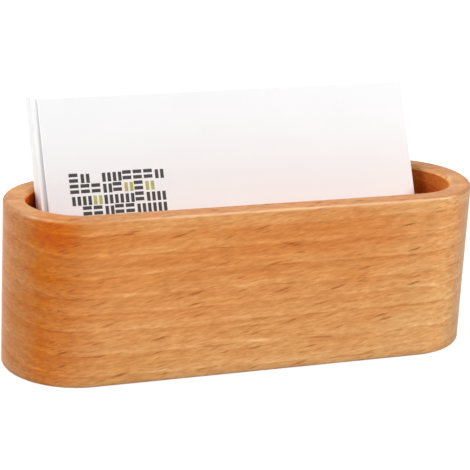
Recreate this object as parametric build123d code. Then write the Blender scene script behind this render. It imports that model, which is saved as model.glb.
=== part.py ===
"""Desk stand for business cards: a routed hardwood block with a row of cards leaning in its pocket.

Millimetres. The origin is the middle of the block's underside, +X runs along the block,
+Y to the back and +Z up. Every card is placed by what it stands on and leans on.
"""
import os
from math import asin, atan, atan2, cos, degrees, hypot, radians, sin, sqrt

from build123d import *

# Cards
card_width = 90.0
card_height = 54.0
card_thickness = 0.32

# Wooden block and its pocket
end_room = 5.6            # from a centred card's edge to the end of the pocket
wall = 4.9                # even all the way round the pocket
pocket_width = 23.0       # front to back
pocket_depth = 29.9
floor_thickness = 8.4
outer_edge_round = 0.9    # top edge, outside
inner_edge_round = 0.9    # top edge, mouth of the pocket
base_edge_round = 0.6     # bottom edge
pocket_cove = 1.2         # where the pocket's walls run into its floor

# How the row of cards stands in the pocket
row_shift = -1.25         # the back group stands left of the middle
front_card_shift = 0.4    # the loose front card stands right of the middle
stagger = 0.22            # how far cards of the group differ sideways
stagger_shares = (0.9, 0.1, 0.6, -0.3, 0.4, -0.5, -1.0)   # second card to rear card
fan_angle = 0.6           # degrees between the group's front and rear cards
card_gap = 0.05           # air between neighbours at their feet
floor_gap = 0.1           # under the cards
wall_gap = 0.2            # between a card and the wall that it meets
front_foot_gap = 0.8      # between the feet of the front card and the second card

# Worked out from the sizes above
pocket_length = card_width + 2 * end_room
body_length = pocket_length + 2 * wall
body_depth = pocket_width + 2 * wall
body_height = floor_thickness + pocket_depth
pocket_radius = pocket_width / 2
straight_half = pocket_length / 2 - pocket_radius
card_half = card_width / 2
group_count = len(stagger_shares)
group_thickness = group_count * card_thickness + (group_count - 1) * card_gap
seating_rounds = 40       # repeats that settle the row's turn in the pocket


def wooden_body():
    """Block with rounded ends, routed from above, with all its edges eased."""
    block = extrude(SlotOverall(body_length, body_depth), amount=body_height)
    pocket_floor = Plane.XY.offset(floor_thickness)
    pocket = extrude(pocket_floor * SlotOverall(pocket_length, pocket_width), amount=pocket_depth)
    block -= pocket
    floor_face = block.faces().filter_by_position(Axis.Z, floor_thickness, floor_thickness)[0]
    block = fillet(floor_face.edges(), pocket_cove)
    rim = block.faces().sort_by(Axis.Z)[-1]
    block = fillet(rim.inner_wires()[0].edges(), inner_edge_round)
    rim = block.faces().sort_by(Axis.Z)[-1]
    block = fillet(rim.outer_wire().edges(), outer_edge_round)
    base = block.faces().sort_by(Axis.Z)[0]
    return fillet(base.edges(), base_edge_round)


def half_chord(x):
    """Distance from the pocket's centre line to its wall, at x along the pocket."""
    into_end = max(abs(x) - straight_half, 0)
    return sqrt(pocket_radius ** 2 - into_end ** 2)


def seat_row(shift):
    """Turn and place of a card whose two upright edges meet the pocket's rounded ends at the back.

    A card that stands off centre meets one end sooner, so it turns until both edges touch.
    Returns the turn in radians and the distance of the card's back face behind the origin.
    """
    turn, behind = 0, 0
    for _ in range(seating_rounds):
        left = (shift - card_half) * cos(turn) - behind * sin(turn)
        right = (shift + card_half) * cos(turn) - behind * sin(turn)
        left_y, right_y = half_chord(left) - wall_gap, half_chord(right) - wall_gap
        turn = asin((right_y - left_y) / card_width)
        behind = ((left_y + right_y) / 2 - shift * sin(turn)) / cos(turn)
    return turn, behind


def front_stop(turn, shift):
    """Most forward place of the front card's foot before a bottom corner meets the coved front wall."""
    into_cove = max(pocket_cove - floor_gap, 0)
    cove_reach = pocket_cove - sqrt(pocket_cove ** 2 - into_cove ** 2)
    stops = []
    for along in (shift - card_half, shift + card_half):
        corner_y = wall_gap + cove_reach - half_chord(along * cos(turn))
        stops.append((corner_y - along * sin(turn)) / cos(turn))
    return max(stops)


def card(turn, shift, behind, height, lean):
    """One card. Its back bottom edge is at the given place, and it leans back by the given angle."""
    along = Vector(cos(turn), sin(turn), 0)
    across = Vector(-sin(turn), cos(turn), 0)
    up = Vector(0, 0, 1)
    foot = along * shift + across * behind + up * height
    front = up * sin(lean) - across * cos(lean)
    face = Plane(origin=foot, x_dir=along, z_dir=front)
    outline = Rectangle(card_width, card_height, align=(Align.CENTER, Align.MIN))
    return extrude(face * outline, amount=card_thickness)


def row_of_cards():
    """All cards, by name, from the loose front card to the rear card that leans on the rim."""
    rear_shift = row_shift + stagger * stagger_shares[-1]
    turn, rim_behind = seat_row(rear_shift)
    rim_height = body_height - inner_edge_round
    stand = floor_thickness + floor_gap

    # The group fills the space between the front card's foot and the rim at the back
    front_foot = front_stop(turn, front_card_shift)
    group_foot = front_foot + card_thickness + front_foot_gap
    reach, rise = rim_behind - group_foot, rim_height - stand
    rear_lean = atan2(reach, rise) - asin(group_thickness / hypot(reach, rise))
    cards = {}
    leans, feet = [], []
    for index, share in enumerate(stagger_shares):
        lean = rear_lean - radians(fan_angle) * (group_count - 1 - index) / (group_count - 1)
        foot = group_foot + ((index + 1) * card_thickness + index * card_gap) / cos(rear_lean)
        leans.append(lean)
        feet.append(foot)
        cards[f"card_{index + 2:02d}"] = card(turn, row_shift + stagger * share, foot, stand, lean)

    # The front card stands at the foot of the cove and its top edge rests on the second card's face
    second_lean = leans[0]
    face_foot = feet[0] - card_thickness * cos(second_lean)
    face_height = stand + card_thickness * sin(second_lean)
    ahead = (face_foot - front_foot) * cos(second_lean)
    diagonal, corner_angle = hypot(card_thickness, card_height), atan(card_thickness / card_height)
    front_lean = second_lean + asin((ahead - card_gap) / diagonal) - corner_angle
    back_foot = front_foot + card_thickness * cos(front_lean)
    back_height = face_height - card_thickness * sin(front_lean)
    cards["front_card"] = card(turn, front_card_shift, back_foot, back_height, front_lean)
    print(f"row turned {degrees(turn):.2f}, rear card leans {degrees(rear_lean):.2f}, "
          f"second {degrees(second_lean):.2f}, front {degrees(front_lean):.2f} degrees")
    return cards


parts = {"wood_body": wooden_body(), **row_of_cards()}
os.makedirs("parts", exist_ok=True)
for name, solid in parts.items():
    export_step(solid, f"parts/{name}.step")
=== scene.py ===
"""Looks of the desk stand for business cards: lacquered beech, white cards, a plain pale studio.

Sizes in the classes are millimetres, in the frame of the solids: +X runs along the block, +Y to the
back and +Z up, with the origin in the middle of the block's underside. Meshes are written in metres.
"""
import logging
from dataclasses import dataclass, field
from enum import Enum
from typing import ClassVar, Optional, Protocol, Sequence, Union

import bpy
import numpy as np
from mathutils import Matrix, Vector


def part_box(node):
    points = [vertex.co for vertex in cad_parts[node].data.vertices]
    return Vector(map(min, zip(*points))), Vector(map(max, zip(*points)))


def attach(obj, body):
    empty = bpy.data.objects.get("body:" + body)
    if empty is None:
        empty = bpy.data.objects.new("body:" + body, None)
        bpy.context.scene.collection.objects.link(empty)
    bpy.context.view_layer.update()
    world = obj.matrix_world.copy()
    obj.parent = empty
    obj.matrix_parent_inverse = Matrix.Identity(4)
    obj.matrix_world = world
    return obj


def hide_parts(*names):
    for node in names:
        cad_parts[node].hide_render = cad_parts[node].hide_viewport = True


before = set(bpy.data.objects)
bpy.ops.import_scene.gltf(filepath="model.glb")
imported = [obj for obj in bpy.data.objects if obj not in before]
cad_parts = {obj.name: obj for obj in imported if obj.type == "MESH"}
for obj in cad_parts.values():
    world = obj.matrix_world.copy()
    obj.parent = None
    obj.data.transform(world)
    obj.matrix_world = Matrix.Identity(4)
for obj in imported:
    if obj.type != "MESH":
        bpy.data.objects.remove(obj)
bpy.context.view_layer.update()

log = logging.getLogger("card_stand")

MM = 0.001

# The sRGB curve: straight up to the knee, then a power of the value and its offset
FULL_CHANNEL = 255
SRGB_KNEE = 0.04045
SRGB_SLOPE = 12.92
SRGB_OFFSET = 0.055
SRGB_POWER = 2.4

# The value that the noise node swings about
NOISE_MIDDLE = 0.5

Span = tuple[float, float]
Triple = tuple[float, float, float]
Rgba = tuple[float, float, float, float]
Socket = bpy.types.NodeSocket
Value = Union[float, Socket]
Colour = Union[Rgba, Socket]


def linear(colour: Triple) -> Rgba:
    """Turns a display colour into the shader's linear light, by the sRGB curve.

    Args:
        colour: Red, green and blue from 0 to 255.

    Returns:
        Red, green, blue and alpha from 0 to 1.
    """
    share = np.asarray(colour, float) / FULL_CHANNEL
    curved = ((share + SRGB_OFFSET) / (1 + SRGB_OFFSET)) ** SRGB_POWER
    light = np.where(share <= SRGB_KNEE, share / SRGB_SLOPE, curved)
    return (*light.tolist(), 1.0)


class NodeGraph:
    """Writes a material or the world as formulas: each method adds nodes and returns their result."""

    # The Mix node's sockets for a factor and two colours, and for the mixed colour
    MIX_INPUTS: ClassVar[tuple[int, int, int]] = (0, 6, 7)
    MIX_RESULT: ClassVar[int] = 2

    def __init__(self, owner: Union[bpy.types.Material, bpy.types.World]) -> None:
        """Empties the node tree of its owner.

        Args:
            owner: The material or the world that the nodes belong to.
        """
        owner.use_nodes = True
        self.tree = owner.node_tree
        self.tree.nodes.clear()

    def node(self, kind: str, inputs: Optional[dict] = None, **settings: object) -> bpy.types.Node:
        """Adds a node.

        Args:
            kind: The node's type, without the ShaderNode prefix.
            inputs: Socket names or numbers, each with a constant or another node's result.
            settings: The node's own properties.

        Returns:
            The new node.
        """
        made = self.tree.nodes.new("ShaderNode" + kind)
        for key, value in settings.items():
            setattr(made, key, value)
        for key, value in (inputs or {}).items():
            if isinstance(value, Socket):
                self.tree.links.new(value, made.inputs[key])
            else:
                made.inputs[key].default_value = value
        return made

    def math(self, operation: str, first: Value, second: Value = 0.0, third: Value = 0.0) -> Socket:
        """One sum of two or three numbers, by the node's name for the operation."""
        return self.node("Math", {0: first, 1: second, 2: third}, operation=operation).outputs[0]

    def place(self) -> Socket:
        """The point of the surface in the object's own frame, in millimetres."""
        point = self.node("TexCoord").outputs["Object"]
        return self.node("VectorMath", {0: point, "Scale": 1 / MM}, operation="SCALE").outputs[0]

    def axes(self, vector: Socket) -> tuple[Socket, Socket, Socket]:
        """The three parts of a vector."""
        x, y, z = self.node("SeparateXYZ", {0: vector}).outputs
        return x, y, z

    def vector(self, x: Value, y: Value, z: Value) -> Socket:
        """A vector from its three parts."""
        return self.node("CombineXYZ", {0: x, 1: y, 2: z}).outputs[0]

    def length(self, vector: Socket) -> Socket:
        """The length of a vector."""
        return self.node("VectorMath", {0: vector}, operation="LENGTH").outputs["Value"]

    def in_cells(
        self, vector: Socket, cell: Triple, turn: Triple = (0, 0, 0), start: Triple = (0, 0, 0)
    ) -> Socket:
        """Counts a place in cells: taken from the start, turned back and divided by the cell.

        Args:
            vector: The place in millimetres.
            cell: The cell's length along each of its own axes, in millimetres.
            turn: How the cells are turned about X, Y and Z, in degrees.
            start: Where the count starts, in millimetres.

        Returns:
            The place in cells.
        """
        turned = np.radians(turn).tolist()
        inputs = {"Vector": vector, "Location": start, "Rotation": turned, "Scale": cell}
        return self.node("Mapping", inputs, vector_type="TEXTURE").outputs[0]

    def noise(self, vector: Socket, detail: float = 2.0, roughness: float = 0.5) -> Socket:
        """Smooth noise with one swell to a cell.

        Args:
            vector: The place in cells.
            detail: How many finer layers of noise are added.
            roughness: How much each finer layer counts.

        Returns:
            The noise, about 0, from -0.5 to 0.5.
        """
        inputs = {"Vector": vector, "Scale": 1.0, "Detail": detail, "Roughness": roughness}
        made = self.node("TexNoise", inputs, noise_dimensions="3D")
        return self.math("SUBTRACT", made.outputs["Fac"], NOISE_MIDDLE)

    def band(
        self, value: Value, low: float, high: float, start: float = 0.0, end: float = 1.0
    ) -> Socket:
        """Runs smoothly from start to end as the value goes from low to high."""
        inputs = {"Value": value, "From Min": low, "From Max": high, "To Min": start, "To Max": end}
        return self.node("MapRange", inputs, interpolation_type="SMOOTHSTEP").outputs[0]

    def mix(self, factor: Value, first: Colour, second: Colour, blend: str = "MIX") -> Socket:
        """Mixes two colours.

        Args:
            factor: How far to go from the first colour to the second, from 0 to 1.
            first: The colour to start from.
            second: The colour to mix in.
            blend: The node's name for the way of mixing.

        Returns:
            The mixed colour.
        """
        inputs = dict(zip(self.MIX_INPUTS, (factor, first, second)))
        made = self.node("Mix", inputs, data_type="RGBA", blend_type=blend, clamp_factor=True)
        return made.outputs[self.MIX_RESULT]

    def tint(self, factor: Value, colour: Socket, tint: Triple) -> Socket:
        """Multiplies a colour by a tint, where the factor is 1."""
        return self.mix(factor, colour, (*tint, 1.0), "MULTIPLY")

    def attribute(self, name: str) -> Socket:
        """A number that the mesh holds at each of its points."""
        made = self.node("Attribute", attribute_name=name, attribute_type="GEOMETRY")
        return made.outputs["Fac"]

    def relief(self, height: Socket, strength: float, depth: float) -> Socket:
        """The direction that a surface with a fine relief faces; the depth is in millimetres."""
        inputs = {"Height": height, "Strength": strength, "Distance": depth * MM}
        return self.node("Bump", inputs).outputs[0]

    def seen(self) -> Socket:
        """Tells the rays that show a surface from those that only carry light.

        Returns:
            1 for rays of the camera, of reflections and through glass, and 0 for all others.
        """
        rays = self.node("LightPath").outputs
        direct = self.math("MAXIMUM", rays["Is Camera Ray"], rays["Is Glossy Ray"])
        return self.math("MAXIMUM", direct, rays["Is Transmission Ray"])


@dataclass(frozen=True)
class NoiseLayer:
    """Smooth noise in stretched cells: the size of a swell, how much it counts and how it slants."""

    cell: Triple
    share: float = 1.0
    slant: float = 0.0
    detail: float = 3.0
    roughness: float = 0.6

    def at(self, graph: NodeGraph, point: Socket) -> Socket:
        """The noise at a place, about 0, up to half the share each way."""
        cells = graph.in_cells(point, self.cell, (0, -self.slant, 0))
        return graph.math("MULTIPLY", graph.noise(cells, self.detail, self.roughness), self.share)


@dataclass(frozen=True)
class FleckLayer:
    """Spindle-shaped marks at random places, one to a cell, each with a strength of its own.

    A mark is full within the core of its spot and fades out at the reach, both counted in cells.
    """

    cell: Triple
    faint: float
    full: float
    core: float
    reach: float

    def at(self, graph: NodeGraph, point: Socket, slant: float) -> Socket:
        """Draws the marks.

        Args:
            graph: The material.
            point: The place in millimetres.
            slant: How the marks rise to the right, in degrees.

        Returns:
            The strength of the mark at the place, 0 off the marks.
        """
        cells = graph.in_cells(point, self.cell, (0, -slant, 0))
        spots = graph.node("TexVoronoi", {"Vector": cells, "Scale": 1.0}, voronoi_dimensions="3D")
        mark = graph.band(spots.outputs["Distance"], self.reach, self.core)
        strength, _, _ = graph.axes(spots.outputs["Color"])
        return graph.math("MULTIPLY", mark, graph.band(strength, 0, 1, self.faint, self.full))


@dataclass(frozen=True)
class Ramp:
    """A smooth change from a start to an end while a value goes from low to high."""

    low: float
    high: float
    start: float = 0.0
    end: float = 1.0

    def at(self, graph: NodeGraph, value: Value) -> Socket:
        """The ramp's height at a value."""
        return graph.band(value, self.low, self.high, self.start, self.end)


@dataclass(frozen=True)
class StainOrLightPatch:
    """A rounded place where the wood is deeper in colour, or paler, which fades out at its size: a real
    stain, or a patch of painted light.
    """

    place: Triple
    size: Triple
    tint: Triple
    fade: Ramp = Ramp(1.0, 0.2)

    def over(self, graph: NodeGraph, point: Socket, colour: Socket) -> Socket:
        """The colour with the stain or the painted light on it."""
        spread = graph.length(graph.in_cells(point, self.size, start=self.place))
        return graph.tint(self.fade.at(graph, spread), colour, self.tint)


@dataclass(frozen=True)
class BeechFinish:
    """Satin lacquered beech: growth rings, slanting ray flecks and fine fibre, all through the wood."""

    # Colours, and tints that multiply a colour
    rich: Triple = (219, 117, 18)
    pale: Triple = (237, 178, 114)
    # The next colour is a painted highlight along the rim's outer edge and on the pocket's mouth
    painted_highlight: Triple = (255, 214, 166)
    late_tint: Triple = (0.9, 0.78, 0.64)
    line_tint: Triple = (0.74, 0.57, 0.43)
    gleam_tint: Triple = (1.18, 1.36, 1.7)
    fleck_tint: Triple = (0.6, 0.42, 0.24)
    # The end tints darken the end grain and also paint shade on both ends, the right end's as a grey
    # painted shade over its turn
    left_end_grain_and_shade: Triple = (0.55, 0.64, 0.88)
    right_end_grain_and_shade: Triple = (0.42, 0.41, 0.39)
    rim_tint: Triple = (0.7, 0.775, 0.95)
    # Painted shade inside the pocket
    pocket_shade: Triple = (0.6, 0.315, 0.12)
    # Painted contact shade along the foot, with its blue raised as a painted reflection of the floor
    foot_shade_tint: Triple = (0.58, 0.79, 1.15)

    # Where the wood is pale, where it is stained and where light is painted on, in millimetres
    left_paling: Ramp = Ramp(-53, -37)
    back_paling: Ramp = Ramp(6, 14)
    low_paling: Ramp = Ramp(38, -4, 0.34, 0.9)
    right_paling: Ramp = Ramp(20, 50, 0.0, 0.38)
    end_paling: Ramp = Ramp(-50, -54, 0.0, 0.25)
    top_paling: Ramp = Ramp(33.5, 36.8, 0.0, 0.28)
    foot_paling: Ramp = Ramp(3.5, 1.2, 0.0, 0.16)
    # The rim is painted evenly pale, a painted sheen of the lacquer on the level top
    rim_sheen: float = 0.48
    patches: NoiseLayer = NoiseLayer((18, 12, 3.5), 0.6)
    stains_and_light_patches: tuple[StainOrLightPatch, ...] = (
        StainOrLightPatch((-47.8, -13, 35.2), (8, 8, 6), (1.0, 0.66, 0.05)),
        StainOrLightPatch((-34, -16, 5), (18, 8, 9), (0.9, 0.82, 0.7)),
        StainOrLightPatch((-24, -16, 31), (24, 8, 2.4), (1.04, 1.14, 1.25)),
        StainOrLightPatch((32, -16, 26), (11, 8, 2.6), (1.06, 1.16, 1.26)),
        StainOrLightPatch((4, -16, 21), (15, 8, 1.9), (1.07, 1.2, 1.35)),
        # Painted light: a paler rim at the back left, which makes up for the cards' shadow there
        StainOrLightPatch((-47, 12, 38.3), (16, 10, 5), (1.2, 1.24, 1.15)),
    )

    # Growth rings: the heights of their lines on the front, and how each ring is shaded
    front_y: float = -16.4
    ring_rise: float = 0.18
    ring_heights: tuple[float, ...] = (
        -13.3, -8.1, -2.8, 2.3, 7.4, 13.0, 17.0, 20.9, 25.5, 30.5, 35.2, 40.2,
    )
    sway: NoiseLayer = NoiseLayer((32, 22, 10), 2.0, detail=2)
    ripple: NoiseLayer = NoiseLayer((7, 5, 3))
    breaks: NoiseLayer = NoiseLayer((9, 9, 3))
    ring_darkening: Ramp = Ramp(0.1, 0.9, 0.0, 0.5)
    ring_change: Ramp = Ramp(0.88, 1.0, 0.0, 0.5)
    ring_unevenness: float = 0.9
    uneven_rate: float = 1.7
    line_start: Ramp = Ramp(0.88, 0.95)
    line_end: Ramp = Ramp(1.0, 0.96)
    line_breaks: Ramp = Ramp(-0.05, 0.2)
    gleam_width: Ramp = Ramp(0.2, 0.03)
    gleam_breaks: Ramp = Ramp(0.05, -0.18, 0.0, 0.8)

    # Streaks, mottle and fibre, and how much of their tone the red, green and blue take
    streaks: NoiseLayer = NoiseLayer((13, 1.8, 0.9), 0.7, detail=4)
    mottle: NoiseLayer = NoiseLayer((2.6, 1.0, 0.5), 0.95, slant=8)
    fibre: NoiseLayer = NoiseLayer((1.5, 0.4, 0.24), 0.45, slant=11, detail=2)
    tone_shares: Triple = (0.6, 1.0, 1.4)

    # Ray flecks, which fade where the grain ends
    fleck_slant: float = 13.0
    fleck_lean: float = 0.4
    fleck_bend: NoiseLayer = NoiseLayer((3, 3, 2), 0.8)
    long_flecks: FleckLayer = FleckLayer((10.5, 3.0, 1.35), 0.2, 0.95, core=0.06, reach=0.28)
    short_flecks: FleckLayer = FleckLayer((7, 2.2, 0.95), 0.15, 0.8, core=0.05, reach=0.25)
    fleck_fading: Ramp = Ramp(0.1, 0.9, 1.0, 0.25)

    # The gloss of the wood and of its lacquer, the painted edge highlight with a smoother finish under
    # it, and the relief under the lacquer
    roughness: float = 0.4
    streak_roughness: float = 0.3
    edge_smoothness: float = 0.22
    wood_gloss: float = 0.05
    lacquer: float = 0.2
    lacquer_roughness: float = 0.3
    highlight_strength: float = 0.6
    fibre_height: float = 2.0
    fleck_depth: float = 0.6
    relief: float = 0.05
    relief_strength: float = 0.2

    def rings(self, graph: NodeGraph, point: Socket) -> Socket:
        """Counts growth rings from the middle of the tree outwards.

        The layers lie almost level, climb towards the back and waver. A curve runs through the
        heights at which the ring lines meet the front, one ring from each to the next.

        Args:
            graph: The material.
            point: The place in millimetres.

        Returns:
            The ring count, whose fraction is the place within the ring.
        """
        _, y, z = graph.axes(point)
        climb = graph.math("MULTIPLY", graph.math("SUBTRACT", y, self.front_y), -self.ring_rise)
        waver = graph.math("ADD", self.sway.at(graph, point), self.ripple.at(graph, point))
        level = graph.math("ADD", graph.math("ADD", z, climb), waver)
        low, high = self.ring_heights[0], self.ring_heights[-1]
        count = len(self.ring_heights) - 1
        inputs = {"Value": level, "From Min": low, "From Max": high}
        bend = graph.node("FloatCurve", {"Value": graph.node("MapRange", inputs).outputs[0]})
        curve = bend.mapping.curves[0]
        for index, height in enumerate(self.ring_heights[1:-1], start=1):
            curve.points.new((height - low) / (high - low), index / count)
        for stop in curve.points:
            stop.handle_type = "VECTOR"
        bend.mapping.update()
        return graph.math("MULTIPLY", bend.outputs[0], float(count))

    def ground(self, graph: NodeGraph, point: Socket, rim: Socket) -> Socket:
        """The wood's main colour: rich at the left of the front, paler to the right, low and behind.

        Args:
            graph: The material.
            point: The place in millimetres.
            rim: How far the surface belongs to the rim, which is painted evenly pale as the lacquer's
                sheen.

        Returns:
            The colour, with its stains and its painted light patch.
        """
        x, y, z = graph.axes(point)
        upward = graph.math("ADD", self.low_paling.at(graph, z), self.top_paling.at(graph, z))
        from_left, from_front = self.left_paling.at(graph, x), self.back_paling.at(graph, y)
        round_the_block = graph.math("MAXIMUM", from_left, from_front)
        paling = graph.math("MULTIPLY", round_the_block, upward)
        ramps = ((self.right_paling, x), (self.end_paling, x), (self.foot_paling, z))
        for ramp, place in ramps:
            paling = graph.math("ADD", paling, ramp.at(graph, place))
        # The rim is painted over with its even pale sheen
        to_rim = graph.math("SUBTRACT", self.rim_sheen, paling)
        paling = graph.math("MULTIPLY_ADD", rim, to_rim, paling)
        paling = graph.math("ADD", paling, self.patches.at(graph, point))
        colour = graph.mix(paling, linear(self.rich), linear(self.pale))
        for tinted_place in self.stains_and_light_patches:
            colour = tinted_place.over(graph, point, colour)
        return colour

    def ring_marks(self, graph: NodeGraph, point: Socket, colour: Socket) -> Socket:
        """Draws the rings: each darkens slowly outwards, to a broken dark and a broken pale line.

        Args:
            graph: The material.
            point: The place in millimetres.
            colour: The wood's colour without rings.

        Returns:
            The colour with rings.
        """
        count = self.rings(graph, point)
        within = graph.math("FRACT", count)
        darkening, change = (ramp.at(graph, within) for ramp in (self.ring_darkening, self.ring_change))
        slow = graph.math("SUBTRACT", darkening, change)
        along = graph.vector(graph.math("MULTIPLY", count, self.uneven_rate), 0.0, 0.0)
        dark = graph.math("MULTIPLY_ADD", graph.noise(along), self.ring_unevenness, slow)
        colour = graph.tint(dark, colour, self.late_tint)
        breaks = self.breaks.at(graph, point)
        start, end = (ramp.at(graph, within) for ramp in (self.line_start, self.line_end))
        line = graph.math("MULTIPLY", start, end)
        line = graph.math("MULTIPLY", line, self.line_breaks.at(graph, breaks))
        colour = graph.tint(line, colour, self.line_tint)
        gleam, kept = self.gleam_width.at(graph, within), self.gleam_breaks.at(graph, breaks)
        return graph.tint(graph.math("MULTIPLY", gleam, kept), colour, self.gleam_tint)

    def flecks(self, graph: NodeGraph, point: Socket, ends: Socket) -> Socket:
        """Ray flecks, long and short, slanting up to the right on the front and bent a little.

        Args:
            graph: The material.
            point: The place in millimetres.
            ends: How far the surface faces along the grain.

        Returns:
            Up to 1 on a mark and 0 off it.
        """
        x, y, z = graph.axes(point)
        lean = graph.math("MULTIPLY", graph.math("SUBTRACT", y, self.front_y), self.fleck_lean)
        bent = graph.math("ADD", z, graph.math("ADD", lean, self.fleck_bend.at(graph, point)))
        leaned = graph.vector(x, y, bent)
        layers = (self.long_flecks, self.short_flecks)
        marks = (layer.at(graph, leaned, self.fleck_slant) for layer in layers)
        return graph.math("MULTIPLY", graph.math("MAXIMUM", *marks), self.fleck_fading.at(graph, ends))

    def material(self) -> bpy.types.Material:
        """Builds the shader: the ground, then rings, tints with painted shade, tone, flecks and a
        painted edge highlight, under a thin lacquer.

        Returns:
            The material, which reads the places that are marked on the block.
        """
        material = bpy.data.materials.new("lacquered_beech")
        graph = NodeGraph(material)
        point = graph.place()
        # Tints by marked places: the ends' end grain with painted shade, the rim, painted shade in the
        # pocket and painted contact shade at the foot
        tints = {
            "left_end": self.left_end_grain_and_shade,
            "right_end": self.right_end_grain_and_shade,
            "rim": self.rim_tint,
            "pocket": self.pocket_shade,
            "foot_shade": self.foot_shade_tint,
        }
        places = {name: graph.attribute(name) for name in tints}
        # Painted highlight on the rim's outer edge and on the mouth, where the lacquer is also smoother
        edge_highlight = graph.math("MAXIMUM", graph.attribute("edge_highlight"), graph.attribute("mouth_highlight"))
        colour = self.ring_marks(graph, point, self.ground(graph, point, places["rim"]))
        for name, tint in tints.items():
            colour = graph.tint(places[name], colour, tint)

        # Streaks, mottle and fibre pale the colour or deepen it, the blue most and the red least
        layers = (self.streaks, self.mottle, self.fibre)
        streaks, mottle, fibre = (layer.at(graph, point) for layer in layers)
        tone = graph.math("ADD", graph.math("ADD", streaks, mottle), fibre)
        channels = (graph.math("MULTIPLY_ADD", tone, share, 1.0) for share in self.tone_shares)
        tones = graph.node("CombineColor", dict(enumerate(channels))).outputs[0]
        colour = graph.mix(1.0, colour, tones, "MULTIPLY")

        ends = graph.math("MAXIMUM", places["left_end"], places["right_end"])
        marks = self.flecks(graph, point, ends)
        colour = graph.tint(marks, colour, self.fleck_tint)
        # The painted highlight is mixed into the colour
        painted_highlight = graph.math("MULTIPLY", edge_highlight, graph.math("ADD", streaks, self.highlight_strength))
        colour = graph.mix(painted_highlight, colour, linear(self.painted_highlight))

        dents = graph.math("MULTIPLY", marks, -self.fleck_depth)
        height = graph.math("MULTIPLY_ADD", fibre, self.fibre_height, dents)
        rough = graph.math("MULTIPLY_ADD", streaks, self.streak_roughness, self.roughness)
        rough = graph.math("MULTIPLY_ADD", edge_highlight, -self.edge_smoothness, rough)
        shader = graph.node("BsdfPrincipled", {
            "Base Color": colour,
            "Roughness": rough,
            "Normal": graph.relief(height, self.relief_strength, self.relief),
            "Specular IOR Level": self.wood_gloss,
            "Coat Weight": self.lacquer,
            "Coat Roughness": self.lacquer_roughness,
        })
        graph.node("OutputMaterial", {"Surface": shader.outputs[0]})
        return material


@dataclass(frozen=True)
class PaperFinish:
    """Uncoated white card, faintly mottled, with a warm cut edge painted a little brighter as painted
    light, and painted shade on its top edge.
    """

    face: Triple = (248, 250, 252)
    shade: Triple = (246, 248, 250)
    # The cut edge is warm and painted a little brighter than the face, as painted light; its top edge
    # is tinted as painted shade
    edge: Triple = (252, 251, 248)
    top_edge_shade_tint: Triple = (0.88, 0.88, 0.86)
    cloud: NoiseLayer = NoiseLayer((14, 14, 14), roughness=0.5)
    cloud_shade: Ramp = Ramp(-0.25, 0.25)
    fibre: NoiseLayer = NoiseLayer((0.5, 0.3, 0.3))
    roughness: float = 0.6
    fibre_roughness: float = 0.15
    gloss: float = 0.25
    relief: float = 0.02
    relief_strength: float = 0.15

    def material(self) -> bpy.types.Material:
        """Builds the shader.

        Returns:
            The material, which reads the cut edge and the painted shade of its top edge from the card.
        """
        material = bpy.data.materials.new("white_card")
        graph = NodeGraph(material)
        point = graph.place()
        shaded = self.cloud_shade.at(graph, self.cloud.at(graph, point))
        colour = graph.mix(shaded, linear(self.face), linear(self.shade))
        # The cut edge's brighter colour is painted light, and the top edge's tint is painted shade
        colour = graph.mix(graph.attribute("cut_edge"), colour, linear(self.edge))
        colour = graph.tint(graph.attribute("painted_edge_light"), colour, self.top_edge_shade_tint)
        fibre = self.fibre.at(graph, point)
        shader = graph.node("BsdfPrincipled", {
            "Base Color": colour,
            "Roughness": graph.math("MULTIPLY_ADD", fibre, self.fibre_roughness, self.roughness),
            "Normal": graph.relief(fibre, self.relief_strength, self.relief),
            "Specular IOR Level": self.gloss,
        })
        graph.node("OutputMaterial", {"Surface": shader.outputs[0]})
        return material


@dataclass(frozen=True)
class InkFinish:
    """Printing ink, a little uneven where the paper drinks it."""

    name: str
    full: Triple
    thin: Triple
    cover: NoiseLayer = NoiseLayer((0.6, 0.6, 0.6), roughness=0.5)
    thinning: Ramp = Ramp(-0.2, 0.25)
    roughness: float = 0.5
    cover_roughness: float = 0.2

    def material(self) -> bpy.types.Material:
        """Builds the shader.

        Returns:
            The material.
        """
        material = bpy.data.materials.new(self.name)
        graph = NodeGraph(material)
        cover = self.cover.at(graph, graph.place())
        thinned = self.thinning.at(graph, cover)
        shader = graph.node("BsdfPrincipled", {
            "Base Color": graph.mix(thinned, linear(self.full), linear(self.thin)),
            "Roughness": graph.math("MULTIPLY_ADD", cover, self.cover_roughness, self.roughness),
        })
        graph.node("OutputMaterial", {"Surface": shader.outputs[0]})
        return material


@dataclass(frozen=True)
class FloorFinish:
    """A pale floor that the camera sees as white, with the object's shadow on it."""

    colour: Triple = (210, 210, 210)
    lift: Ramp = Ramp(350, 1000, 0.5, 1.0)

    def material(self) -> bpy.types.Material:
        """Builds the shader: a matt floor, with white added for the camera, and more of it far out.

        Returns:
            The material.
        """
        material = bpy.data.materials.new("pale_floor")
        graph = NodeGraph(material)
        lift = self.lift.at(graph, graph.length(graph.place()))
        matt = graph.node("BsdfDiffuse", {"Color": linear(self.colour)})
        glow = graph.node("Emission", {"Strength": graph.math("MULTIPLY", graph.seen(), lift)})
        both = graph.node("AddShader", {0: matt.outputs[0], 1: glow.outputs[0]})
        graph.node("OutputMaterial", {"Surface": both.outputs[0]})
        return material


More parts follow.
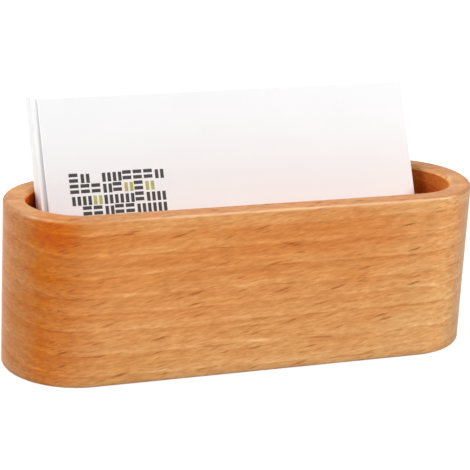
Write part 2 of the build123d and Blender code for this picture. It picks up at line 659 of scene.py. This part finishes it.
@dataclass(frozen=True)
class Outline:
    """A rounded outline about a spine, as pairs of a spine point and the direction out of it."""

    spine: np.ndarray
    out: np.ndarray

    @classmethod
    def from_turns(
        cls, centres: np.ndarray, first: float, sweep: float, steps: int, runs: int
    ) -> "Outline":
        """Rounds off a polygon of centres, going round against the clock.

        At each centre the direction out turns evenly through the sweep; between two centres the
        direction stays and the spine point moves in even steps.

        Args:
            centres: The polygon's corners, one row each.
            first: Direction out at the start of the first corner, in degrees.
            sweep: Turn at each corner, in degrees.
            steps: Steps in each corner's turn.
            runs: Steps in each straight run.

        Returns:
            The outline.
        """
        corner = np.arange(len(centres))[:, None]
        angle = np.radians(first + sweep * (corner + np.linspace(0, 1, steps + 1)))
        turning = np.stack([np.cos(angle), np.sin(angle)], axis=-1)
        along = np.linspace(0, 1, runs + 1)[1:-1, None]
        following = np.roll(centres, -1, axis=0)
        moving = centres[:, None] + (following - centres)[:, None] * along
        spine = np.concatenate([np.repeat(centres[:, None], steps + 1, axis=1), moving], axis=1)
        out = np.concatenate([turning, np.repeat(turning[:, -1:], runs - 1, axis=1)], axis=1)
        return cls(spine.reshape(-1, 2), out.reshape(-1, 2))


def arc(centre: Span, radius: float, start: float, end: float, steps: int) -> np.ndarray:
    """Points of a section's arc: the centre plus the radius at even angles, in degrees."""
    angle = np.radians(np.linspace(start, end, steps + 1))
    return np.column_stack([centre[0] + radius * np.cos(angle), centre[1] + radius * np.sin(angle)])


def run(start: Sequence[float], end: Sequence[float], steps: int) -> np.ndarray:
    """Points between the ends of a straight stretch, closer together towards both ends.

    The share of the way is half of one less the cosine of even angles from 0 to a half turn.
    """
    share = (1 - np.cos(np.linspace(0, np.pi, steps + 1)[1:-1, None])) / 2
    return np.asarray(start) + (np.asarray(end) - np.asarray(start)) * share


def smooth_step(values: np.ndarray, low: float, high: float) -> np.ndarray:
    """Runs from 0 at low to 1 at high, as three times the square of the way less twice its cube."""
    way = np.clip((values - low) / (high - low), 0, 1)
    return way ** 2 * (3 - 2 * way)


@dataclass
class Surface:
    """A section carried round an outline, closed by a flat face at each end of the section.

    A point is the outline's spine point, plus the section's reach times the direction out, at the
    section's height.
    """

    outline: Outline
    section: np.ndarray
    caps: ClassVar[int] = 2

    def points(self) -> np.ndarray:
        """Works out the points, as the class says.

        Returns:
            All points, section by section, one row each.
        """
        reach, rise = self.section.T
        flat = self.outline.spine[:, None] + reach[None, :, None] * self.outline.out[:, None]
        height = np.broadcast_to(rise[None, :, None], (*flat.shape[:2], 1))
        return np.concatenate([flat, height], axis=-1).reshape(-1, 3)

    def faces(self) -> list[list[int]]:
        """Numbers the faces.

        Returns:
            Four-sided faces between neighbours, then the first and last rings as flat faces.
        """
        around, along = len(self.outline.spine), len(self.section)
        index = np.arange(around * along).reshape(around, along)
        after = np.roll(index, -1, axis=0)
        sides = np.stack([index[:, :-1], index[:, 1:], after[:, 1:], after[:, :-1]], axis=-1)
        return [*sides.reshape(-1, 4).tolist(), index[:, 0].tolist(), index[::-1, -1].tolist()]

    def per_outline(self, values: np.ndarray) -> np.ndarray:
        """Spreads one value per outline point over all points."""
        return np.repeat(values, len(self.section))

    def per_section(self, values: np.ndarray) -> np.ndarray:
        """Spreads one value per section point over all points."""
        return np.tile(values, len(self.outline.spine))


def new_piece(
    name: str, points: np.ndarray, faces: list[list[int]], flat: int = 0
) -> bpy.types.Object:
    """Puts a mesh into the scene, at the origin, with its place in its points.

    Args:
        name: The piece's name.
        points: Its points in millimetres, one row each.
        faces: Point numbers of each face, against the clock seen from outside.
        flat: How many faces, counted from the last, are shaded flat instead of smoothly.

    Returns:
        The new object.
    """
    mesh = bpy.data.meshes.new(name)
    mesh.from_pydata((points * MM).tolist(), [], faces)
    mesh.polygons.foreach_set("use_smooth", np.arange(len(faces)) < len(faces) - flat)
    mesh.update()
    piece = bpy.data.objects.new(name, mesh)
    bpy.context.scene.collection.objects.link(piece)
    return piece


def hold(piece: bpy.types.Object, name: str, values: np.ndarray) -> None:
    """Writes one number per point into the mesh, under that name, for the material to read."""
    layer = piece.data.attributes.new(name, "FLOAT", "POINT")
    layer.data.foreach_set("value", values.astype(np.float32))


class SubAssembly(Protocol):
    """A part of the object that builds its mesh and then dresses it."""

    def build(self) -> bpy.types.Object:
        """Builds the mesh."""

    def dress(self, piece: bpy.types.Object, /) -> None:
        """Gives the mesh its finish and its body."""


@dataclass
class WoodBlock:
    """The stand: a round-ended block with a pocket routed from above and every edge eased."""

    node: str = "wood_body"
    body: str = "holder"

    # Sizes, as in the solid, whose length, depth and height are read from it
    wall: float = 4.9
    floor: float = 8.4
    outer_round: float = 0.9
    inner_round: float = 0.9
    base_round: float = 0.6
    cove: float = 1.2
    length: float = field(init=False)
    depth: float = field(init=False)
    height: float = field(init=False)

    # The painted highlight along the front edge, its weaker end on the left corner, and the painted
    # highlight on the mouth
    highlight_width: float = 0.34
    highlight_drop: float = 0.1
    highlight_facing: Span = (0.85, 1.0)
    highlight_along: Span = (-46.0, -18.0)
    left_highlight: float = 0.5
    left_highlight_out: Span = (0.2, 0.5)
    left_highlight_facing: Span = (0.4, 0.7)
    mouth_highlight_width: float = 0.5
    mouth_highlight_share: float = 0.15

    # Painted contact shade at the foot, painted shade in the pocket, and the ends of the grain, darker
    # as end grain and with painted shade
    foot_shade_width: float = 0.6
    back_shade_span: Span = (-0.9, 0.1)
    front_shade_share: float = 0.2
    left_end: Span = (0.34, 1.0)
    right_end: Span = (0.1, 1.0)

    # Steps round the block, then up the wall, and the flat margin beside the two flat faces
    end_steps: int = 72
    side_steps: int = 60
    cove_steps: int = 8
    mouth_steps: int = 8
    edge_steps: int = 10
    base_steps: int = 6
    margin_runs: int = 6
    pocket_runs: int = 24
    rim_runs: int = 10
    outside_runs: int = 32
    margin: float = 1.2
    finish: BeechFinish = field(default_factory=BeechFinish)

    def __post_init__(self) -> None:
        """Reads the block's length, depth and height from its solid."""
        low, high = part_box(self.node)
        sizes = ((far - near) / MM for near, far in zip(low, high))
        self.length, self.depth, self.height = sizes

    def section(self) -> np.ndarray:
        """The wall's section, from the pocket's floor over the rim to the underside.

        Arcs for the cove, the two rim edges and the base edge, joined by straight runs.

        Returns:
            Reach and height of each point.
        """
        outer, top = self.depth / 2, self.height
        inner = outer - self.wall
        bend, lip, brow, foot = self.cove, self.inner_round, self.outer_round, self.base_round
        cove = arc((inner - bend, self.floor + bend), bend, -90, 0, self.cove_steps)
        mouth = arc((inner + lip, top - lip), lip, 180, 90, self.mouth_steps)
        edge = arc((outer - brow, top - brow), brow, 90, 0, self.edge_steps)
        base = arc((outer - foot, foot), foot, 0, -90, self.base_steps)
        start, end = cove[0] - (self.margin, 0), base[-1] - (self.margin, 0)
        return np.vstack([
            start, run(start, cove[0], self.margin_runs),
            cove, run(cove[-1], mouth[0], self.pocket_runs),
            mouth, run(mouth[-1], edge[0], self.rim_runs),
            edge, run(edge[-1], base[0], self.outside_runs),
            base, run(base[-1], end, self.margin_runs),
            end,
        ])

    def marks(self, section: np.ndarray) -> dict[str, np.ndarray]:
        """How far each point of the section belongs to the places that the wood is coloured by.

        Upright and rim are how steep and how level the section runs, upright on the wall's outer half
        and rim outside the pocket. Pocket marks the inside, for painted shade. Both painted edge
        highlights are bell curves over the distance from the middle of the top's outer edge, or just
        under it, and from the middle of the pocket's mouth. The painted contact shade at the foot
        falls off upwards and inwards from the bottom edge.

        Args:
            section: The wall's section.

        Returns:
            Numbers from 0 to 1, one per point, by the name of the place.
        """
        reach, rise = section.T
        outer = self.depth / 2
        slope = np.gradient(section, axis=0).T
        across, climb = slope / np.hypot(*slope)
        mouth = np.argmax(rise >= self.height - self.inner_round)
        inside = np.arange(len(section)) < mouth
        outside = reach > (self.depth - self.wall) / 2

        # The middle of a rounded corner lies this share of its radius in, along each axis
        inset = 1 - np.sqrt(0.5)
        edge = np.array([outer, self.height - self.highlight_drop]) - inset * self.outer_round
        inward = inset * self.inner_round * np.array([1, -1])
        lip = np.array([outer - self.wall, self.height]) + inward
        from_edge, from_lip = (np.linalg.norm(section - point, axis=1) for point in (edge, lip))
        from_foot = rise + outer - reach
        return {
            "upright": np.where(outside, np.abs(climb), 0),
            "pocket": inside.astype(float),
            "rim": np.where(inside, 0, np.clip(across, 0, 1)),
            "edge_highlight": np.exp(-(from_edge / self.highlight_width) ** 2),
            "mouth_highlight": self.mouth_highlight_share * np.exp(-(from_lip / self.mouth_highlight_width) ** 2),
            "foot_shade": np.where(inside, 0, np.exp(-from_foot / self.foot_shade_width)),
        }

    def build(self) -> bpy.types.Object:
        """Carries the section round the block's outline, about the line between the end centres.

        The upright faces of both ends are marked by how far they face along the grain, for their darker
        end grain and painted shade. A painted highlight runs along the front edge and, less, on the
        left corner, and the painted shade in the pocket is deepest at the back.

        Returns:
            The block, with its places marked.
        """
        half = (self.length - self.depth) / 2
        centres = np.array([[half, 0.0], [-half, 0.0]])
        steps, runs = self.end_steps, self.side_steps
        outline = Outline.from_turns(centres, first=-90, sweep=180, steps=steps, runs=runs)
        surface = Surface(outline, self.section())
        block = new_piece("beech_block", surface.points(), surface.faces(), flat=Surface.caps)
        marks = self.marks(surface.section)
        upright = marks.pop("upright")
        out, back = outline.out.T
        # Painted highlight along the front edge and on the left corner
        front = smooth_step(-back, *self.highlight_facing)
        painted_edge_light = front * smooth_step(outline.spine[:, 0], *self.highlight_along)
        corner = smooth_step(-out, *self.left_highlight_out) * smooth_step(-back, *self.left_highlight_facing)
        # Painted shade in the pocket, deeper towards the back
        back_shade = (1 - self.front_shade_share) * smooth_step(back, *self.back_shade_span)
        round_the_block = {
            "left_end": smooth_step(-out, *self.left_end),
            "right_end": smooth_step(out, *self.right_end),
            "edge_highlight": np.maximum(painted_edge_light, self.left_highlight * corner),
            "pocket": self.front_shade_share + back_shade,
        }
        up_the_wall = {**marks, "left_end": upright, "right_end": upright}
        for name, values in up_the_wall.items():
            around = round_the_block.get(name, np.ones_like(out))
            hold(block, name, surface.per_section(values) * surface.per_outline(around))
        return block

    def dress(self, block: bpy.types.Object) -> None:
        """Gives the block its wood, and puts it in the solid's place.

        Args:
            block: The block that was built.
        """
        block.data.materials.append(self.finish.material())
        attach(block, self.body)
        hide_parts(self.node)


@dataclass(frozen=True)
class CardPlace:
    """Where a card stands: its middle, its three directions and its three sizes, in millimetres."""

    middle: np.ndarray
    turn: np.ndarray
    size: np.ndarray

    # Digits to which corners of neighbouring triangles are the same
    digits: ClassVar[int] = 4

    @classmethod
    def of_node(cls, node: str) -> "CardPlace":
        """Finds a card's place from its solid.

        The main directions of the corners are the card's width, height and thickness, in that
        order. They are pointed to the right, up and to the front.

        Args:
            node: The solid's name.

        Returns:
            The place.
        """
        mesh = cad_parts[node].data
        flat = np.empty(len(mesh.vertices) * 3)
        mesh.vertices.foreach_get("co", flat)
        corners = np.unique(np.round(flat.reshape(-1, 3) / MM, cls.digits), axis=0)
        middle = (corners.min(axis=0) + corners.max(axis=0)) / 2
        across, up = np.linalg.svd(corners - middle, full_matrices=False)[2][:2]
        across, up = across * np.sign(across[0]), up * np.sign(up[2])
        turn = np.column_stack([across, up, np.cross(across, up)])
        size = np.ptp((corners - middle) @ turn, axis=0)
        return cls(middle, turn, size)

    def to_frame(self, points: np.ndarray) -> np.ndarray:
        """Moves points from the card's own frame to the object's."""
        return points @ self.turn.T + self.middle


@dataclass
class Card:
    """One card: a thin sheet with blunted corners and a cut edge that is slightly eased."""

    node: str
    finish: bpy.types.Material
    corner_round: float = 0.25
    edge_round: float = 0.11

    # Steps round the card, then across its edge, and the flat margin beside the two flat faces
    corner_steps: int = 6
    side_steps: int = 8
    edge_steps: int = 4
    margin_runs: int = 4
    margin: float = 0.12

    def build(self) -> bpy.types.Object:
        """Carries the eased edge round the card's rounded outline, which is closed by flat faces.

        Returns:
            The card, with the cut edge and its upper side marked for painted shade.
        """
        place = CardPlace.of_node(self.node)
        width, height, thick = place.size / 2
        reach, ease = self.corner_round, self.edge_round
        far, near = np.array([width, height]) - reach
        centres = np.array([[far, -near], [far, near], [-far, near], [-far, -near]])
        steps, runs = self.corner_steps, self.side_steps
        outline = Outline.from_turns(centres, first=-90, sweep=90, steps=steps, runs=runs)
        front = arc((reach - ease, thick - ease), ease, 90, 0, self.edge_steps)
        back = arc((reach - ease, ease - thick), ease, 0, -90, self.edge_steps)
        start, end = front[0] - (self.margin, 0), back[-1] - (self.margin, 0)
        in_front, behind = run(start, front[0], self.margin_runs), run(back[-1], end, self.margin_runs)
        section = np.vstack([start, in_front, front, back, behind, end])
        surface = Surface(outline, section)
        points = place.to_frame(surface.points())
        card = new_piece(f"sheet_{self.node}", points, surface.faces(), flat=Surface.caps)

        # The cut edge starts half-way out on the eased rounds
        cut = surface.per_section((section[:, 0] > reach - ease / 2).astype(float))
        hold(card, "cut_edge", cut)
        # The upper cut edge is marked for painted shade
        hold(card, "painted_edge_light", cut * surface.per_outline(np.clip(outline.out[:, 1], 0, 1)))
        return card

    def dress(self, card: bpy.types.Object) -> None:
        """Gives the card its paper, and puts it in the solid's place.

        Args:
            card: The card that was built.
        """
        card.data.materials.append(self.finish)
        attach(card, self.node)
        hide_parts(self.node)


class Bar(Enum):
    """Which way the bars of a tile in the printed panel run."""

    LEVEL = 0
    UPRIGHT = 1


@dataclass
class PrintedPanel:
    """A plain woven pattern of short dark bars, printed on the front card."""

    node: str = "front_card"
    left_margin: float = 5.3
    top: float = 37.0
    side: float = 22.5
    tiles: int = 9
    bars: int = 2
    fill_share: float = 0.64
    missing_share: float = 0.12
    tinted_share: float = 0.1
    ink: float = 0.012
    seed: int = 7
    finishes: tuple[InkFinish, ...] = (
        InkFinish("dark_ink", (30, 26, 25), (46, 41, 40)),
        InkFinish("olive_ink", (166, 170, 84), (186, 190, 108)),
    )

    # Which of a bar's low x, low y, high x and high y its four corners take, against the clock
    corners_x: ClassVar[list[int]] = [0, 2, 2, 0]
    corners_y: ClassVar[list[int]] = [1, 1, 3, 3]

    # Faces of a box, whose points are the four corners underneath and the four above them
    box_faces: ClassVar[np.ndarray] = np.array([
        [3, 2, 1, 0], [4, 5, 6, 7], [0, 1, 5, 4], [1, 2, 6, 5], [2, 3, 7, 6], [3, 0, 4, 7],
    ])

    def bars_of(self, way: Bar, tiles: np.ndarray) -> np.ndarray:
        """Boxes of all bars that run one way, as low and high corners on the card.

        Args:
            way: Which way the bars run.
            tiles: Column and row of each tile with such bars.

        Returns:
            Low x, low y, high x and high y of each bar, in tiles from the panel's lower left corner.
        """
        step = 1 / self.bars
        gap = step * (1 - self.fill_share)
        lane = np.arange(self.bars) * step + gap / 2
        column, row = tiles[:, None, 0], tiles[:, None, 1]
        low, size = (column, row + lane), np.array([1 - gap, step * self.fill_share])
        if way is Bar.UPRIGHT:
            low, size = (column + lane, row), size[::-1]
        low = np.stack(np.broadcast_arrays(*low), axis=-1)
        return np.concatenate([low, low + size], axis=-1).reshape(-1, 4)

    def build(self) -> bpy.types.Object:
        """Lays seeded level and upright bars on a square grid of tiles, each a thin closed box.

        Returns:
            The bars, with each face numbered by its ink.
        """
        place = CardPlace.of_node(self.node)
        rng = np.random.default_rng(self.seed)
        kind = rng.integers(0, len(Bar), (self.tiles, self.tiles))
        kept = rng.random(kind.shape) > self.missing_share
        inks = (rng.random(kind.shape) < self.tinted_share).astype(np.int32)
        chosen = {way: kept & (kind == way.value) for way in Bar}
        boxes = [self.bars_of(way, np.argwhere(tiles).astype(float)) for way, tiles in chosen.items()]
        bars = np.concatenate(boxes) * (self.side / self.tiles)
        corner = np.array([self.left_margin, self.top - self.side]) - place.size[:2] / 2
        x, y = bars[:, self.corners_x] + corner[0], bars[:, self.corners_y] + corner[1]
        face = place.size[2] / 2
        layers = [np.stack([x, y, np.full_like(x, z)], axis=-1) for z in (face, face + self.ink)]
        points = np.concatenate(layers, axis=1)
        first = np.arange(len(bars))[:, None, None] * points.shape[1]
        faces = (first + self.box_faces).reshape(-1, 4).tolist()
        points = place.to_frame(points.reshape(-1, 3))
        panel = new_piece("printed_bars", points, faces, flat=len(faces))
        used = np.concatenate([inks[tiles] for tiles in chosen.values()])
        per_face = np.repeat(used, self.bars * len(self.box_faces))
        panel.data.polygons.foreach_set("material_index", per_face)
        return panel

    def dress(self, panel: bpy.types.Object) -> None:
        """Inks the panel and lets it ride on its card.

        Args:
            panel: The bars that were built.
        """
        for finish in self.finishes:
            panel.data.materials.append(finish.material())
        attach(panel, self.node)


@dataclass(frozen=True)
class Lamp:
    """A square soft white lamp that looks at a point of the object."""

    name: str
    place: Triple
    side: float
    power: float

    def build(self, target: Triple) -> None:
        """Hangs the lamp and turns it to the target.

        Args:
            target: The point that the lamp looks at, in millimetres.
        """
        light = bpy.data.lights.new(self.name, "AREA")
        light.shape = "SQUARE"
        light.size = self.side * MM
        light.energy = self.power
        lamp = bpy.data.objects.new(self.name, light)
        place, aim = Vector(self.place) * MM, Vector(target) * MM
        lamp.matrix_world = Matrix.LocRotScale(place, (aim - place).to_track_quat("-Z", "Y"), None)
        bpy.context.scene.collection.objects.link(lamp)


@dataclass
class Studio:
    """A pale floor, soft lamps and the camera at the photograph's angle."""

    # The camera, with its angles in degrees
    eye: Triple = (-145.82, -369.42, 161.21)
    yaw: float = 21.31
    pitch: float = 18.69
    roll: float = 2.99
    lens: float = 140.45
    sensor: float = 36.0
    near: float = 10.0

    # The floor and the light
    floor_half: float = 3000.0
    floor_steps: int = 24
    ambient: float = 0.312
    surround: Triple = (255, 255, 255)
    target: Triple = (0.0, 0.0, 25.0)
    lamps: tuple[Lamp, ...] = (
        Lamp("key_lamp", (1395.0, -682.0, 1119.0), 430.0, 23.3),
        Lamp("front_lamp", (570.0, -950.0, 1314.0), 330.0, 4.2),
        Lamp("fill_lamp", (-980.0, 160.0, 480.0), 800.0, 8.6),
        Lamp("high_lamp", (-700.0, 360.0, 800.0), 400.0, 4.0),
    )

    def build_floor(self) -> None:
        """Lays the floor: an even square grid at the height of the block's underside."""
        ticks = np.linspace(-self.floor_half, self.floor_half, self.floor_steps + 1)
        x, y = np.meshgrid(ticks, ticks, indexing="ij")
        points = np.stack([x, y, np.zeros_like(x)], axis=-1).reshape(-1, 3)
        index = np.arange(x.size).reshape(x.shape)
        faces = np.stack([index[:-1, :-1], index[1:, :-1], index[1:, 1:], index[:-1, 1:]], axis=-1)
        floor = new_piece("studio_floor", points, faces.reshape(-1, 4).tolist())
        floor.data.materials.append(FloorFinish().material())

    def build_world(self) -> None:
        """Surrounds the object with even light, which the camera sees as white."""
        world = bpy.data.worlds.new("pale_surround")
        graph = NodeGraph(world)
        level = graph.node("MapRange", {"Value": graph.seen(), "To Min": self.ambient}).outputs[0]
        light = graph.node("Background", {"Color": linear(self.surround), "Strength": level})
        graph.node("OutputWorld", {"Surface": light.outputs[0]})
        bpy.context.scene.world = world

    def build_camera(self) -> None:
        """Stands the camera at the eye, turned by yaw and pitch, and rolled about its line of sight."""
        yaw, pitch, roll = np.radians([self.yaw, self.pitch, self.roll])
        ahead = np.array([np.sin(yaw) * np.cos(pitch), np.cos(yaw) * np.cos(pitch), -np.sin(pitch)])
        level = np.array([np.cos(yaw), -np.sin(yaw), 0.0])
        upright = np.cross(level, ahead)
        right = np.cos(roll) * level + np.sin(roll) * upright
        up = np.cos(roll) * upright - np.sin(roll) * level
        pose = np.eye(4)
        pose[:3] = np.column_stack([right, up, -ahead, np.array(self.eye) * MM])
        data = bpy.data.cameras.new("photo_camera")
        data.lens, data.sensor_width = self.lens, self.sensor
        data.clip_start, data.clip_end = self.near * MM, 2 * self.floor_half * MM
        camera = bpy.data.objects.new("photo_camera", data)
        camera.matrix_world = Matrix(pose.tolist())
        bpy.context.scene.collection.objects.link(camera)
        bpy.context.scene.camera = camera

    def build(self) -> None:
        """Sets up the floor, the surround, the lamps and the camera."""
        self.build_floor()
        self.build_world()
        for lamp in self.lamps:
            lamp.build(self.target)
        self.build_camera()
        bpy.context.scene.view_settings.view_transform = "Standard"


def main() -> None:
    """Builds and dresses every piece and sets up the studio."""
    logging.basicConfig(level=logging.INFO, format="%(message)s")
    block = WoodBlock()
    paper = PaperFinish().material()
    cards = [Card(node, paper) for node in sorted(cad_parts) if node != block.node]
    makers: list[SubAssembly] = [block, *cards, PrintedPanel()]
    for maker in makers:
        piece = maker.build()
        maker.dress(piece)
        log.info("%s: %d faces", piece.name, len(piece.data.polygons))

    Studio().build()


if __name__ == "__main__":
    main()
